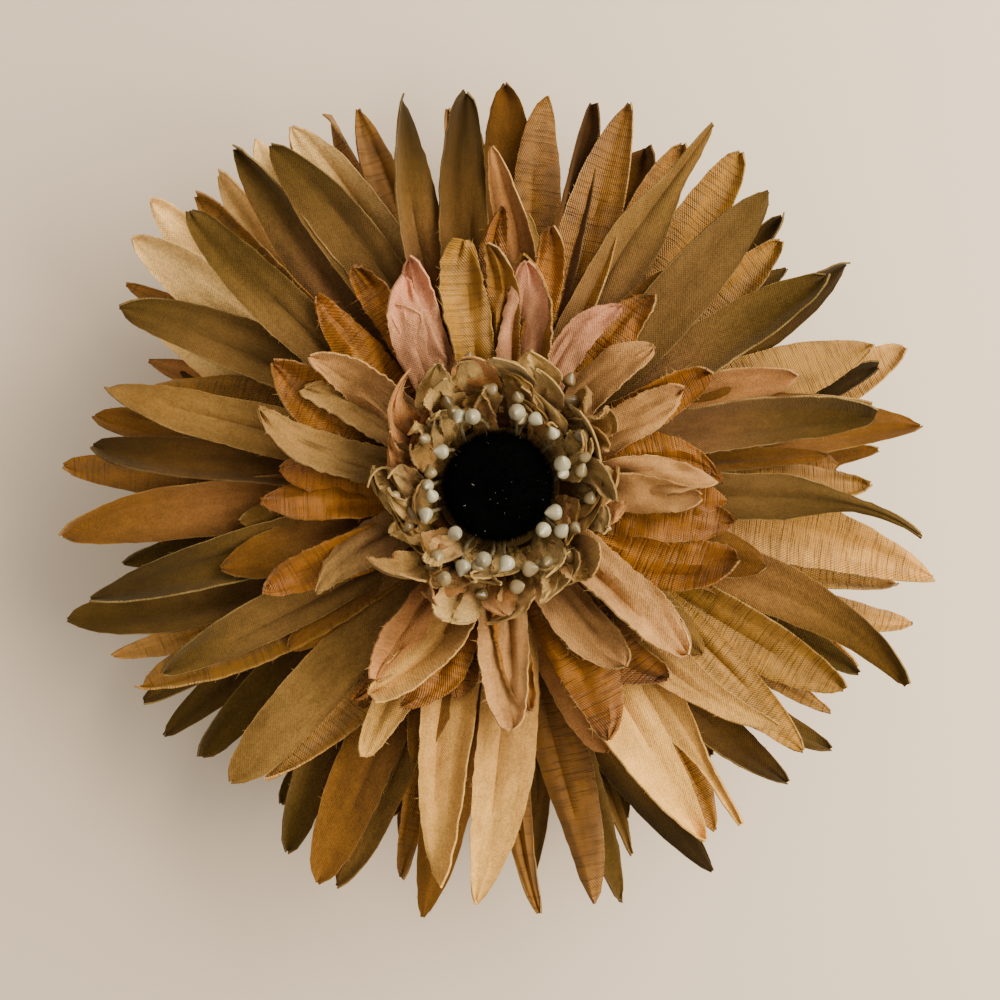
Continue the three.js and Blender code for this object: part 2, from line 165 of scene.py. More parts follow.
def cloth_material(name, satin):
    """Dyed cloth: colour, with painted shade and light, from the mesh, and weave and wrinkles in the
    cloth's own thread directions; satin wrinkles are painted darker as shade.
    """
    if satin:
        m = Nodes(name, Roughness=0.46, Sheen_Weight=0.10, Sheen_Roughness=0.4)
    else:
        m = Nodes(name, Roughness=0.92, Sheen_Weight=0.08, Sheen_Roughness=0.6)
    m.feed("Sheen Tint", (1, 0.84, 0.6, 1))
    m.feed("Specular IOR Level", 0.4 if satin else 0.07)
    # The "dye" attribute holds the cloth's dye together with its painted shade and painted light.
    dye_with_painted_light = m.add("Attribute", attribute_name="dye").outputs["Color"]
    thread = m.add("Attribute", attribute_name="thread").outputs["Vector"]
    apart = m.add("SeparateXYZ", {0: thread}).outputs
    pitch = 0.30 if satin else 0.34  # of the threads each way, in mm
    turn = 2 * math.pi / pitch
    along = m.math("SINE", m.math("MULTIPLY", apart[1], turn))
    if satin:
        slant = m.math("MULTIPLY", m.math("ADD", apart[0], m.math("MULTIPLY", apart[1], 0.6)), turn)
        weave = m.math("ADD", m.math("SINE", slant), m.math("MULTIPLY", along, 0.4))
    else:
        weave = m.math("MULTIPLY", m.math("SINE", m.math("MULTIPLY", apart[0], turn)), along)
    slub = m.noise(2.2, m.stretch(thread, 1.0, 0.35))
    blotch = m.noise(0.45, thread, 4.0)
    fuzz = m.noise(3.6, thread, 4.0)
    fleck = 0.07 if satin else 0.19
    grain = m.span(fuzz, 0.3, 0.7, -fleck, fleck)
    shade = m.math("ADD", m.span(slub, 0.3, 0.7, -0.1, 0.1), m.span(blotch, 0.3, 0.7, -0.1, 0.1))
    shade = m.math("ADD", shade, m.math("MULTIPLY", weave, 0.05))
    shade = m.math("ADD", shade, grain)
    height = m.math("ADD", m.math("MULTIPLY", weave, 0.6), m.math("MULTIPLY", slub, 1.2))
    if satin:
        wrinkle_with_shade = m.span(m.noise(1.0, m.stretch(thread, 0.22, 2.3), 5.0), 0.50, 0.64, 0, 1)
        # Painted shade: the wrinkles are painted darker where they dent the satin.
        shade = m.math("SUBTRACT", shade, m.math("MULTIPLY", wrinkle_with_shade, 0.24))
        height = m.math("SUBTRACT", height, m.math("MULTIPLY", wrinkle_with_shade, 2.2))
        m.feed("Roughness", m.span(slub, 0.3, 0.7, 0.36, 0.56))
    else:
        crumple = m.noise(0.7, m.stretch(thread, 1.0, 0.4), 3.0)
        height = m.math("ADD", height, m.math("MULTIPLY", fuzz, 2.0))
        height = m.math("ADD", height, m.math("MULTIPLY", crumple, 5.0))
    level = m.math("ADD", shade, 1.0)
    grey = m.add("CombineColor", {0: level, 1: level, 2: level}).outputs[0]
    m.feed("Base Color", m.tint(1.0, dye_with_painted_light, grey, "MULTIPLY"))
    m.feed("Normal", m.bump(height, 0.05 * MM, 0.9))
    return m.material


MATTE = cloth_material("cloth_matte", satin=False)
SATIN = cloth_material("cloth_satin", satin=True)

# Display colours in per cent at a petal's root, middle and tip, whether it is satin, and how strong its
# streaks are.
CLOTHS = {
    "olive": ((65, 54, 39), (58, 48, 34), (48, 40, 24), False, 0),
    "olivegreen": ((65, 54, 36), (54, 45, 28), (40, 33, 20), False, 0),
    "olivedark": ((66, 55, 37), (54, 44, 27), (32, 26, 14), False, 0),
    "olivetan": ((70, 58, 44), (66, 55, 39), (61, 50, 33), False, 0),
    "tanolive": ((81, 67, 54), (66, 53, 37), (50, 40, 22), False, 0),
    "dark": ((60, 49, 30), (49, 39, 23), (35, 28, 15), False, 0),
    "brown": ((58, 44, 24), (59, 46, 28), (56, 42, 23), False, 0),
    "amberbrown": ((58, 45, 27), (63, 49, 33), (61, 47, 28), False, 0.5),
    "mauve": ((59, 47, 32), (51, 39, 26), (42, 31, 19), False, 0),
    "amber": ((64, 47, 19), (73, 56, 25), (72, 55, 19), True, 1.0),
    "gold": ((66, 50, 23), (74, 58, 29), (76, 60, 26), True, 0.8),
    "orange": ((66, 47, 12), (76, 56, 17), (66, 47, 12), True, 0.8),
    "peachgold": ((69, 53, 27), (79, 64, 37), (75, 60, 28), True, 0.7),
    "peach": ((72, 55, 31), (82, 66, 41), (90, 73, 47), True, 0.5),
    "tan": ((63, 48, 33), (73, 57, 42), (82, 65, 50), False, 0),
    "floret": ((60, 52, 38), (73, 64, 50), (81, 71, 56), False, 0),
    "beige": ((63, 53, 37), (73, 62, 47), (74, 62, 46), False, 0),
    "cream": ((70, 56, 37), (90, 75, 54), (95, 80, 57), False, 0),
    # Painted light: a paler cream, for the petals on the side away from the lamps, which lie in shade.
    "ivory": ((84, 69, 48), (101, 88, 70), (105, 92, 74), False, 0),
    "rose": ((64, 52, 37), (80, 66, 51), (84, 69, 54), False, 0),
    "pink": ((73, 61, 48), (88, 71, 63), (93, 72, 65), False, 0),
}
DYES = {name: (dye(*root), dye(*middle), dye(*tip), satin, streak)
        for name, (root, middle, tip, satin, streak) in CLOTHS.items()}
# The rosy cast that the plain cloths take on between root and tip.
BLUSH = dye(69, 53, 46)


# ---------- Petals ----------

ALONG, ACROSS = 46, 14  # faces along and across one petal
SHEET, FINE_SHEET = 0.25, 0.22  # thickness of the stiffened cloth, and of the florets'
UNDERSIDE_SHADE = 0.8  # painted shade: how bright the back of the cloth is painted beside its face
RIM = dye(97, 88, 71)  # the undyed threads that show at a cut edge
HUB = 9.0  # radius at which the petals of the larger whorls part
SPINDLE_HOLE = 2.3  # radius of the hole in each whorl and crown


class Petal:
    """One petal, as a grid of points along (0 root, 1 tip) and across (-1 to 1), in millimetres.

    lean and hook turn its root and its tip round the axis, and twist rolls it, in degrees. curl droops
    the tip and lift raises it. cup turns up both edges and fold turns up one. ruffle and crinkle make it
    uneven, tail narrows its last part, and point sharpens it. ragged and loose say how frayed it is, and
    pale and rim how pale its root and its cut edge are. pale is painted light, for a root that lies in
    shade.
    """

    def __init__(self, rng, bearing, length, width, dye, root=5.0, lean=0.0, hook=0.0, twist=0.0, curl=0.0,
                 lift=0.0, cup=None, fold=0.0, ruffle=0.0, crinkle=0.0, ragged=1.0, point=None, loose=34,
                 tail=1.0, pale=1.0, rim=1.0):
        self.rng, self.dye, self.satin, self.ragged, self.loose = rng, dye, DYES[dye][3], ragged, loose
        self.pale, self.rim = pale, rim
        s = np.linspace(0, 1, ALONG + 1)[:, None]
        step = np.linspace(-1, 1, ACROSS + 1)[None, :]
        t = np.sign(step) * (1 - (1 - np.abs(step)) ** 1.6)
        self.s, self.t, self.root = s, t, root
        point = rng.uniform(-0.2, 0.7) if point is None else point
        # Half width: a narrow waist, widest past the middle, then a tapering tip.
        peak = rng.uniform(0.46, 0.64)
        taper = np.clip((s - peak) / (1 - peak), 0, 1)
        waist = lerp(0.6, 1.0, ramp(s, -0.1, peak))
        end = np.power(1 - np.power(taper, lerp(2.8, 1.8, point)), lerp(0.56, 0.88, point))
        half = width / 2 * waist * end * lerp(1.0, tail, ramp(s, 0.62, 0.86))
        half = half * (1 + 0.04 * noise2(s * 9, t * 0 + 3, rng)) + 0.12
        edge = noise2(s * 60, np.sign(t) * 5 + 7, rng) * np.abs(t) ** 6
        side = t * half + edge * 0.09 * ragged
        # The middle line in plan, then the height over the whorl's own form.
        radius = lerp(root, length, s)
        swing = math.radians(lean) * (1 - s) + math.radians(hook) * np.power(s, 5)
        sway = math.radians(0.9) * noise2(s * 2.2, s * 0 + 1, rng)
        angle = math.radians(bearing) + swing + sway
        roll = math.radians(twist) * np.power(s, 1.5) + math.radians(9) * noise2(s * 1.6, s * 0 + 9, rng)
        cup = rng.uniform(-0.9, 0.6) if cup is None else cup
        broad = width / 6.5
        arch = cup * broad * t * t * (half / (width / 2)) ** 1.2 * ramp(s, 0.05, 0.5)
        turned_up = abs(fold) * ramp(t * math.copysign(1, fold), 0.3, 1.05) ** 2 * ramp(s, 0.05, 0.4)
        crease_at = rng.uniform(-0.25, 0.25) + 0.12 * noise2(s * 3, s * 0 + 2, rng)
        crease = -rng.uniform(0.4, 1.2) * np.exp(-(((t - crease_at) / 0.17) ** 2))
        crease = crease * ramp(s, 0.02, 0.2) * (1 - ramp(s, rng.uniform(0.45, 0.7), 1.0))
        pleat = 0.18 * np.sin(t * rng.uniform(4, 7) + rng.uniform(0, 6)) * (1 - 0.5 * s)
        ripple = 0.34 * noise2(s * 7, t * 1.2 + 20, rng) * (0.4 + t * t)
        wave = np.sin(2 * math.pi * rng.uniform(0.8, 1.5) * s + rng.uniform(0, 6) + 2.2 * (t > 0))
        frill = ruffle * t * t * wave * ramp(s, 0.05, 0.6)
        rough = crinkle * (noise2(s * 5, t * 2.2 + 40, rng) + 0.5 * noise2(s * 11, t * 4 + 50, rng))
        up = arch + turned_up + crease + pleat + ripple + frill + rough
        if self.satin:
            up = up + 0.06 * np.sin(s * length * rng.uniform(1.3, 2.1) + 2.5 * noise2(s * 5, t * 1.5, rng))
        rise = lift * np.power(s, 1.3) - curl * np.power(ramp(s, 0.55, 1.25), 1.2) * 6
        sideways = side * np.cos(roll) - up * np.sin(roll)
        self.x = radius * np.sin(angle) + sideways * np.cos(angle)
        self.y = radius * np.cos(angle) - sideways * np.sin(angle)
        self.up = rise + side * np.sin(roll) + up * np.cos(roll)
        self.radius = radius + 0 * t
        self.threads = np.stack([side, s * (length - root) + 0 * t, 0 * side], -1)

    def surface(self, form):
        return np.stack([self.x, self.y, form(self.radius) + self.up], -1)

    def flat_reach(self, form):
        """How far from the axis the tip was before the whorl was pressed: its root and its length."""
        middle = self.surface(form)[:, ACROSS // 2]
        return self.root + np.linalg.norm(np.diff(middle, axis=0), axis=1).sum()

    def colours(self):
        """Dye by vertex: along the petal, paler at the cut edge, blotched, and streaked in some cloths,
        with painted shade and painted light at the root.
        """
        root, middle, tip, satin, streak = DYES[self.dye]
        s, t, rng = self.s, self.t, self.rng
        shift = rng.uniform(-0.12, 0.12)
        first, second = ramp(s + shift, 0.1, 0.5), ramp(s + shift + 0.05 * t, 0.62, 0.98)
        colour = [lerp(lerp(a, b, first), c, second) for a, b, c in zip(root, middle, tip)]
        if not satin:
            rosy = rng.uniform(0, 0.4) * ramp(s + shift, 0.15, 0.4) * (1 - ramp(s + shift, 0.45, 0.8))
            colour = [lerp(c, b, rosy) for c, b in zip(colour, BLUSH)]
        light = 1 + rng.uniform(-0.14, 0.14) + 0.14 * noise2(s * 4, t * 1.3 + 30, rng)
        light = light + 0.10 * noise2(s * 2, t * 4 + 20, rng)
        light = light + 0.09 * noise2(s * 13, t * 3 + 11, rng)
        # Painted light and shade: pale paints the roots of the deepest whorls and of the florets paler, as
        # light where they lie in shade, and every root is painted up to a fifth darker, as the shade of the
        # petals over it.
        light = light * lerp(self.pale, 1.0, ramp(s, 0.5, 0.95)) * (1 - 0.2 * (1 - ramp(s, 0.0, 0.45)))
        if streak:
            bands = noise2(s * 34 + 1.5 * noise2(s * 4, t * 2, rng), t * 0.8 + 4, rng)
            lines = noise2(s * 3, t * 9 + 4, rng)
            light = light - 0.26 * streak * ramp(bands, 0.1, 0.8) * ramp(s, 0.3, 0.75) + 0.10 * lines
        edge = self.rim * (np.abs(t) > 0.99) * rng.uniform(0.1, 0.45)
        edge = edge * (0.6 + 0.5 * noise2(s * 16, t + 60, rng))
        return np.stack([lerp(c * light, r, edge) for c, r in zip(colour, RIM)], axis=-1)


def unit(ways):
    return ways / (np.linalg.norm(ways, axis=-1, keepdims=True) + 1e-9)


def spikes(feet, ways, lengths, thick, rng):
    """Fine tapering fibres from feet along ways, as points and triangles, four of each to a fibre."""
    one = unit(np.cross(ways, rng.normal(0, 1, ways.shape)))
    other = np.cross(ways, one)
    corners = [feet + thick * (one * math.cos(a) + other * math.sin(a)) for a in (0, 2.1, 4.2)]
    points = np.stack([*corners, feet + ways * lengths], 1).reshape(-1, 3)
    first = 4 * np.arange(len(feet))[:, None, None]
    faces = first + np.array([[0, 1, 3], [1, 2, 3], [2, 0, 3], [2, 1, 0]])[None]
    return points, faces.reshape(-1, 3)


def frayed(petal, surface, colours):
    """Loose threads on a petal's cut edge, most of them near its tip, with their colours."""
    rng, count = petal.rng, petal.loose
    row = (ALONG * np.sqrt(rng.uniform(0.1, 0.999, count))).astype(int)
    right = rng.integers(0, 2, count)
    foot = surface[row, right * ACROSS]
    out = unit(foot - surface[row, 1 + right * (ACROSS - 2)])
    ahead = unit(surface[row + 1, right * ACROSS] - foot)
    way = unit(out * rng.uniform(0.3, 1, (count, 1)) + ahead * rng.normal(0.3, 0.7, (count, 1))
               + rng.normal(0, 0.25, (count, 3)))
    lengths = 0.18 + rng.gamma(1.2, 0.16, (count, 1)) * petal.ragged
    points, faces = spikes(foot - 0.1 * out - [0, 0, 0.1], way, lengths + 0.1, 0.035, rng)
    return points, faces, np.repeat(lerp(colours[row, right * ACROSS], np.array(RIM), 0.25), 4, axis=0)


def sheet_body(surface, thickness):
    """A closed sheet whose top is a grid of points: its points and quads."""
    rows, columns = surface.shape[:2]
    index = np.arange(rows * columns).reshape(rows, columns)
    a, b, c, d = index[:-1, :-1], index[1:, :-1], index[1:, 1:], index[:-1, 1:]
    top = np.stack([a, d, c, b], -1).reshape(-1, 4)
    bottom = np.stack([a, b, c, d], -1).reshape(-1, 4) + index.size
    ring = np.concatenate([index[0, :-1], index[:-1, -1], index[-1, :0:-1], index[:0:-1, 0]])
    after = np.roll(ring, -1)
    rim = np.stack([ring, ring + index.size, after + index.size, after], -1)
    normal = unit(np.cross(np.gradient(surface, axis=1), np.gradient(surface, axis=0)))
    points = np.concatenate([surface.reshape(-1, 3), (surface - normal * thickness).reshape(-1, 3)])
    return points, np.concatenate([top, bottom, rim])


def hub_sheet(form, radius, colour):
    """The flat middle of a whorl, with the hole that the spindle passes through."""
    r = np.linspace(SPINDLE_HOLE, radius, 5)[:, None]
    bearing = np.linspace(0, 2 * math.pi, 61)[None, :]
    surface = np.stack([r * np.sin(bearing), r * np.cos(bearing), form(r + 0 * bearing) - 0.12], -1)
    return surface, np.broadcast_to(colour, surface.shape), surface, False


def whorl_piece(name, petals, form, hub, thickness):
    """Joins petals and their hub into one object of closed sheets. form(radius) is the height in mm."""
    sheets = [hub_sheet(form, hub, DYES[petals[0].dye][0])]
    loose = []
    for i, petal in enumerate(petals):
        surface, colours = petal.surface(form), petal.colours()
        # Each petal is cut from its own part of the cloth.
        sheets.append((surface, colours, petal.threads + [0, 17 * i, i], petal.satin))
        loose.append(frayed(petal, surface, colours))
    points, faces, dyes, threads, kinds, start = [], [], [], [], [], 0
    for surface, colours, thread, satin in sheets:
        body, quads = sheet_body(surface, thickness)
        points.append(body)
        faces += (quads + start).tolist()
        # Painted shade: the back of each sheet is painted darker than its face.
        dyes += [colours.reshape(-1, 3), UNDERSIDE_SHADE * colours.reshape(-1, 3)]
        threads += 2 * [thread.reshape(-1, 3)]
        kinds += len(quads) * [int(satin)]
        start += len(body)
    for body, triangles, colours in loose:
        points.append(body)
        faces += (triangles + start).tolist()
        dyes.append(colours)
        threads.append(0 * body)
        kinds += len(triangles) * [0]
        start += len(body)
    points, dyes, threads = (np.concatenate(parts) for parts in (points, dyes, threads))
    return cloth_object(name, points, faces, dyes, threads, kinds)


def cloth_object(name, points, faces, dyes, threads, kinds):
    turn = np.array(Matrix.Rotation(VIEW_TURN, 3, "Z"))
    mesh = bpy.data.meshes.new(name)
    mesh.from_pydata((points @ turn.T * MM).tolist(), [], faces)
    # The "dye" attribute holds the dye with the painted shade and painted light of the petals.
    colour = mesh.attributes.new("dye", "FLOAT_COLOR", "POINT")
    colour.data.foreach_set("color", np.c_[np.clip(dyes, 0, 1), np.ones(len(dyes))].ravel())
    thread = mesh.attributes.new("thread", "FLOAT_VECTOR", "POINT")
    thread.data.foreach_set("vector", threads.ravel())
    mesh.materials.append(MATTE)
    mesh.materials.append(SATIN)
    mesh.polygons.foreach_set("material_index", kinds)
    return finish_mesh(name, mesh)


def finish_mesh(name, mesh):
    """A new object with smooth shading, apart from its sharp edges."""
    mesh.polygons.foreach_set("use_smooth", np.ones(len(mesh.polygons), bool))
    mesh.update()
    mesh.set_sharp_from_angle(angle=math.radians(50))
    piece = bpy.data.objects.new(name, mesh)
    bpy.context.scene.collection.objects.link(piece)
    return piece


# Petals are written as "bearing length width dye lean", with the bearing of the tip in degrees
# clockwise from the camera's up direction, the length from the axis and the width in millimetres,
# and the lean in degrees by which the root sits further round than the tip. A sixth value is how far
# the tip hooks round from there, in degrees, and a seventh how much its tail is narrowed.
WHORLS = {
    "outer_whorl_1": """
        3 54 3.4 tan 6, 24 52 5.5 brown 0, 45 55 4.1 dark 6, 69 55 4.1 brown 1, 84 53 4.1 brown 3,
        100 50 5.5 olive 0, 116 55 4.1 peach -7, 138 51 5.5 olive 0, 161 53 2.4 olivetan -5,
        175 54 3.2 olivetan -9, 196 50 5 brown 0, 215 52 5 olive 0, 236 57 4.6 olive -1,
        247 58 4.1 peach -9, 268 52 6 brown 0, 292 52 5 tan 0, 309 57 2.2 amber -11,
        322 52 5 tan 0, 339 55 3.8 amber -5, 353 54 2.7 tan -1, 356 53 4.1 brown -1""",
    "outer_whorl_2": """
        1 56 6.5 brown 0, 15.5 56 2.8 tan 3 3 0.7, 28 54 5.7 amber 1, 52 50 6 olive 0,
        71 59 6.8 peach 9, 80 58 6.8 brown -3, 109 59 4.6 peach 6, 129 57 4.6 olive 11,
        151 59 6.2 dark 10, 177.5 57 4.6 amber 1 -2.5 0.75, 193 54 3 amber 6, 212 52 6 brown 0,
        229 54 4.9 olive 5,
        240 56 4.3 olive -2, 260 52 5 olive 0, 280 56 4.3 amberbrown 2, 295 53 7.6 ivory -2,
        305 59 3.2 ivory 2, 318 58 4.9 ivory -13, 326 59 5.7 ivory -10, 335 57 4.3 amber 0""",
    "outer_whorl_3": """
        7 54 5.7 amber 3, 36 56 6.1 gold 2, 48 51 6.1 gold 3, 58 56 5.4 dark 3, 72 54 4.3 dark 4,
        90 50 5.7 gold -7, 105 55 6.8 peachgold -2, 117 54 4.3 olive -2, 124 54 4.3 gold -1,
        135 55 5.7 dark 9, 148 54 5.1 amber -11, 164 57 4.3 olive -2, 189 58 6.8 amberbrown 1,
        202 57 5.1 olivetan -3, 210 56 5.1 olive 16, 251 60 6.5 olive -6, 272 59 4.9 amber -1,
        286 49 5.4 gold 14, 298 58 3.8 amber 6, 311 61 6.4 ivory -9, 331 57 4.3 amber -9,
        342 55 5.1 amber -5""",
    "outer_whorl_4": """
        12 53 3.5 mauve 6, 19 54 7.6 amber 2, 68 54 8.1 peachgold -2, 77 51 3.8 tan -15,
        83 44 3.2 brown -3, 100 59 8.6 peach -5, 120 53 6.8 peachgold 1, 130 53 6.2 peachgold -5,
        167 56 6.5 amber -2, 205 57 6.8 amberbrown 5, 220 49 5.4 peach -18, 241 54 6.5 gold -8,
        264 58 6.8 amberbrown 7, 276 54 4.9 dark -1, 303 59 7.4 ivory 2, 313 56 5.1 amber -5,
        332 56 6.8 ivory 4""",
    "outer_whorl_5": """
        30 56 6.8 olivetan -4 0 0.45, 57 51 6.8 olive -5, 70 42 4.7 tan -15, 81 50 5.7 olive -14,
        111 59 7 tanolive -4 5 0.8, 142 54 5 cream 1 1.5 0.3, 222 52 7.4 olivetan 2,
        242 50 5.9 olive -4, 255 55 6.8 olivegreen 1, 283 53 6.5 olivetan 1, 298 55 6.8 olive 5,
        322 56 6.2 olive -6""",
    "middle_whorl": """
        42 52 7.6 olive 2, 345 51 6.2 olivedark -3, 354 51 6.2 dark -4, 90.5 54.5 6.2 olive 3 7 0.35,
        134 47 6.2 cream 7 -4 0.7, 150 52 8.4 cream 4, 182 53 8.1 cream -10, 190 51 6.8 cream 8,
        207 39 5.1 cream -2, 311 53 6.8 olive -4, 327 53 7.6 olive 9, 358 44 4.9 tan 19""",
    "amber_whorl": """
        358 36 4 orange 0, 14 34 4 orange 0, 36 32 6 orange 0, 62 31 5.5 orange 0, 78 29 6 orange 0,
        100 31 6.5 orange 0, 114 32 7.5 orange 4, 128 32 5 orange 3, 146 33 6.5 orange 5,
        152 35 7 orange 3, 176 29 4 orange 0, 196 31 6 orange 0, 211 33 4 orange 0,
        248 33 5.5 orange -5, 268 31 6 orange 0, 293 33 7 orange 0, 315 34 5.5 orange 0,
        328 34 4.5 orange 0""",
    "pale_whorl": """
        350 32 5.0 peachgold 0, 2 31 4.4 amber 0, 14 30 4.6 gold 0, 306 29 5 rose 3, 26 28 4 pink 0,
        45 27 5.5 rose -8, 62 27 5 rose 4, 83 28 5 rose 4, 95 26 4.5 rose -6, 132 32 6.5 rose -6,
        147 28 6 rose 6, 178 31 6 rose 0, 210 31 5 cream -18, 214 29 5 tan -8, 246 27 5.5 beige 4,
        282 32 5 beige -4, 301 28 6 beige 4, 328 29 5.6 pink 2, 333 27 5.4 pink 0, 338 31 5 pink -12,
        10 29 6.4 pink 0""",
}
# Plain petals behind the ones above, where the whorl shows through the gaps in front of it: how many,
# their shortest and longest, width and dyes.
BACKING = {
    "outer_whorl_1": (16, 45, 50, 7.6, ["brown", "olive", "amberbrown"]),
    "outer_whorl_2": (8, 44, 48, 7.2, ["amberbrown", "olive", "amber"]),
    "outer_whorl_5": (8, 34, 37, 7.0, ["olivetan", "tan", "amberbrown"]),
    "middle_whorl": (7, 35, 39, 7.0, ["tan", "amberbrown", "brown"]),
    "amber_whorl": (4, 27, 30, 6.5, ["orange"]),
}

# The form of each whorl as in the CAD: where its tips are, how far they rise from the hub, and the
# droop that grows with the square of the way out.
FORMS = {
    "outer_whorl_1": (59, 0, 3), "outer_whorl_2": (58.5, 2.4, 3), "outer_whorl_3": (57, 4.8, 3),
    "outer_whorl_4": (55, 7.2, 3), "outer_whorl_5": (53, 9.6, 3), "middle_whorl": (53, 12, 2),
    "amber_whorl": (34.5, 10, 1.2), "pale_whorl": (29, 10, 1.2),
}
# How much wider the cloth is cut than its shape seen from above, because a petal bows and folds.
GROWN = {
    "outer_whorl_1": 1.1, "outer_whorl_2": 1.1, "outer_whorl_3": 1.1, "outer_whorl_4": 1.05,
    "outer_whorl_5": 1.0, "middle_whorl": 0.96, "amber_whorl": 1.05, "pale_whorl": 1.0,
}
# Painted light: how much paler the roots of the deepest whorls are painted, where they lie in the shade of
# the whorls above.
ROOT_PAINTED_LIGHT = {"outer_whorl_1": 1.55, "outer_whorl_2": 1.4, "outer_whorl_3": 1.2}


def box_mm(node):
    low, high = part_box(node)
    return [c / MM for c in low], [c / MM for c in high]


def round_mm(node):
    """Radius, foot and top of a round node, in mm."""
    low, high = box_mm(node)
    return high[0], low[2], high[2]


def node_floor(node):
    """Height of a node's flat hub, in mm."""
    heights = [v.co.z for v in bpy.data.objects[node].data.vertices if v.co.xy.length < 3 * MM]
    return min(heights) / MM


def pressed_form(node, hub, tip, rise, droop=0.0):
    floor = node_floor(node)

    def form(radius):
        out = np.clip((radius - hub) / (tip - hub), 0, 2)
        return floor + 0.5 + rise * out - droop * out * out

    return form


def add_whorl(node, petals, form, hub, thickness=SHEET):
    """Builds a whorl: one round of cloth, cut into petals, that is pressed on the spindle."""
    piece = whorl_piece(node + "_cloth", petals, form, hub, thickness)
    across = 2 * max(petal.flat_reach(form) for petal in petals)
    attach(piece, "flower")
    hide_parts(node)


def build_whorl(node, seed):
    rng = np.random.default_rng(seed)
    inner = node in ("amber_whorl", "pale_whorl")
    pale = ROOT_PAINTED_LIGHT.get(node, 1.0)
    petals = []
    for i, entry in enumerate(WHORLS[node].split(",")):
        bearing, length, width, dye, lean, *bend = entry.split()
        habit = dict(
            lean=float(lean),
            hook=float(bend[0]) if bend else rng.normal(0, 4 if inner else 0.8),
            tail=float(bend[1]) if len(bend) > 1 else 1.0,
            pale=pale,
            curl=rng.uniform(-0.1, 0.5),
            lift=(0.5 if i % 2 else -0.4) + rng.normal(0, 0.4),
        )
        if dye == "pink":  # these stand above the rest
            habit["lift"] += 1.6
        if inner:
            habit |= dict(twist=rng.normal(0, 18), fold=rng.normal(0, 1.2), ruffle=rng.uniform(0.4, 1.3),
                          crinkle=0.6, ragged=1.8, loose=50)
        else:
            habit |= dict(twist=rng.normal(0, 13), fold=rng.normal(0, 1.2), ragged=rng.uniform(0.6, 1.6),
                          ruffle=rng.uniform(0, 0.6), crinkle=0.14)
        petals.append(Petal(rng, float(bearing), float(length), GROWN[node] * float(width), dye, **habit))
    count, shortest, longest, width, dyes = BACKING.get(node, (0, 0, 0, 0, [""]))
    for i in range(count):
        bearing = 360 * (i + rng.normal(0, 0.15)) / count
        petals.append(Petal(rng, bearing, rng.uniform(shortest, longest), width, dyes[i % len(dyes)],
                            lift=-0.9, twist=rng.normal(0, 8), cup=-0.3, pale=pale))
    add_whorl(node, petals, pressed_form(node, HUB, *FORMS[node]), HUB)


for seed, node in enumerate(WHORLS):
    build_whorl(node, 100 + seed)


# ---------- Centre: florets, stamens and pile ----------

def build_florets(node, seed, tip, rise, rows, dyes):
    """Small ruffled florets in rows of (count, root, reach, width, lift) on one whorl."""
    rng = np.random.default_rng(seed)
    hub = 6.8
    petals = []
    for count, root, reach, width, lift in rows:
        start = rng.uniform(0, 360)
        for i in range(count):
            bearing = start + 360 * (i + rng.normal(0, 0.14)) / count
            # pale=1.4 is painted light: the florets' roots are painted paler where they lie in shade round
            # the pile.
            petals.append(Petal(rng, bearing, reach + rng.normal(0, 0.8), width * rng.uniform(0.75, 1.3),
                                rng.choice(dyes), root=root, lean=rng.normal(0, 9), hook=rng.normal(0, 13),
                                twist=rng.uniform(-52, 52), curl=rng.uniform(-0.3, 0.4),
                                lift=lift + rng.uniform(-1.2, 1.0), cup=rng.uniform(-1.2, 1.5),
                                fold=rng.uniform(-2.2, 2.2), ruffle=rng.uniform(0.6, 1.6), crinkle=0.6,
                                ragged=1.3, point=rng.uniform(-0.4, 0.6), loose=12, pale=1.4, rim=0.45))
    add_whorl(node, petals, pressed_form(node, hub, tip, rise), rows[-1][1] + 0.4, FINE_SHEET)


def sweep(rings, closed=False):
    """Quads between rings of points, an array (rings, points, 3). Ends are capped, or joined if closed."""
    rings = np.asarray(rings, float)
    count, sides = rings.shape[:2]
    faces = []
    for i in range(count if closed else count - 1):
        a, b = i * sides, (i + 1) % count * sides
        faces += [(a + j, a + (j + 1) % sides, b + (j + 1) % sides, b + j) for j in range(sides)]
    if not closed:
        faces.append(tuple(range(sides - 1, -1, -1)))
        faces.append(tuple(range((count - 1) * sides, count * sides)))
    return rings.reshape(-1, 3), faces


def tube(path, radii, sides):
    """Circles of the given radii centred on path, as closed points and quads."""
    path = np.asarray(path, float)
    ahead = unit(np.gradient(path, axis=0))
    helper = np.array([0.0, 1.0, 0.0]) if abs(ahead[0, 1]) < 0.9 else np.array([1.0, 0.0, 0.0])
    right = unit(np.cross(ahead, helper))
    over = np.cross(ahead, right)
    angle = np.linspace(0, 2 * math.pi, sides, endpoint=False)
    ring = right[:, None] * np.cos(angle)[None, :, None] + over[:, None] * np.sin(angle)[None, :, None]
    return sweep(path[:, None] + ring * np.asarray(radii, float)[:, None, None])


def revolve(profile, sides=64, wobble=0.0, seed=0):
    """A profile of (radius, height) turned about Z, closed on itself if it has no end on the axis."""
    rng = np.random.default_rng(seed)
    profile = np.asarray(profile, float)
    closed = profile[:, 0].min() > 0.05
    angle = np.linspace(0, 2 * math.pi, sides, endpoint=False)
    swell = 1 + wobble * noise2(8 + 3 * np.cos(angle), 8 + 3 * np.sin(angle), rng)[None, :]
    radius = np.maximum(profile[:, :1], 0.01) * swell
    rings = [radius * np.cos(angle), radius * np.sin(angle), profile[:, 1:] + 0 * angle]
    return sweep(np.stack(rings, -1), closed)


